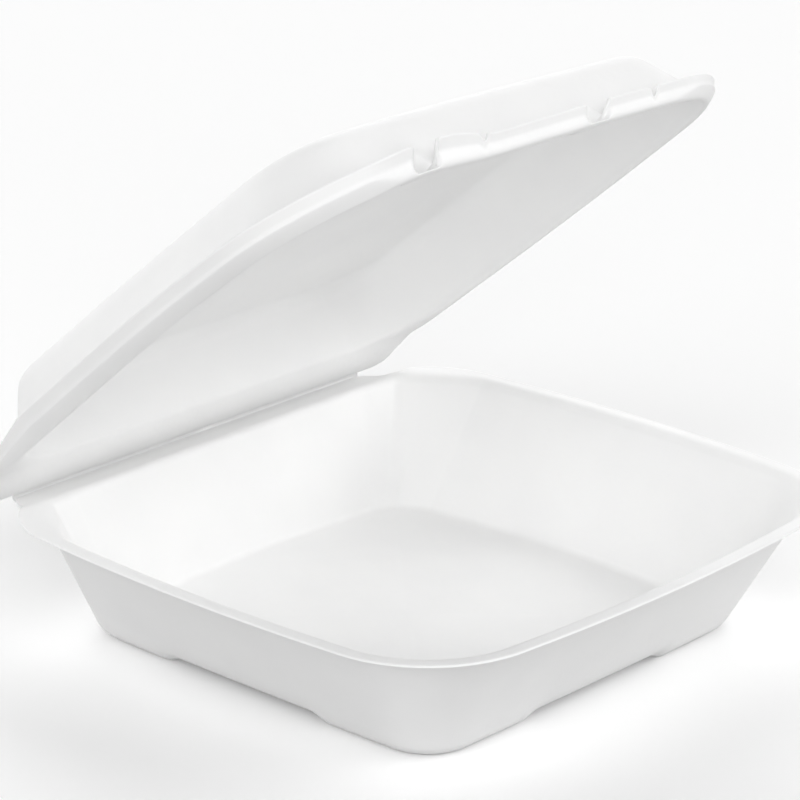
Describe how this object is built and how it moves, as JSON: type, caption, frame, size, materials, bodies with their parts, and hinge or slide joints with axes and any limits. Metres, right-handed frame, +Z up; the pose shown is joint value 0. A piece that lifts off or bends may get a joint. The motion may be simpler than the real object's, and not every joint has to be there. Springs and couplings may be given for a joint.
{
  "type": "hinged foam food container",
  "caption": "Square white foam takeaway container: a tray with sloping walls and four corner feet, and a domed lid on a moulded crease hinge, standing part open.",
  "frame": {"origin": "on the surface the feet stand on, under the middle of the container's box as it stands open", "axes": "+X along the hinge crease, -Y towards the opening side, +Z up"},
  "size_m": [0.2348, 0.2251, 0.1969],
  "materials": {
    "foam": "soft matte white moulded foam"
  },
  "bodies": {
    "tray": {"base_tray": "foam"},
    "lid": {"lid": "foam"}
  },
  "joints": [
    {"name": "lid_hinge", "type": "hinge", "parent": "tray", "child": "lid", "pos_m": [0, 0.1091, 0.04328], "axis": [-1, 0, 0], "range_deg": [-39.8, 140.2]}
  ]
}
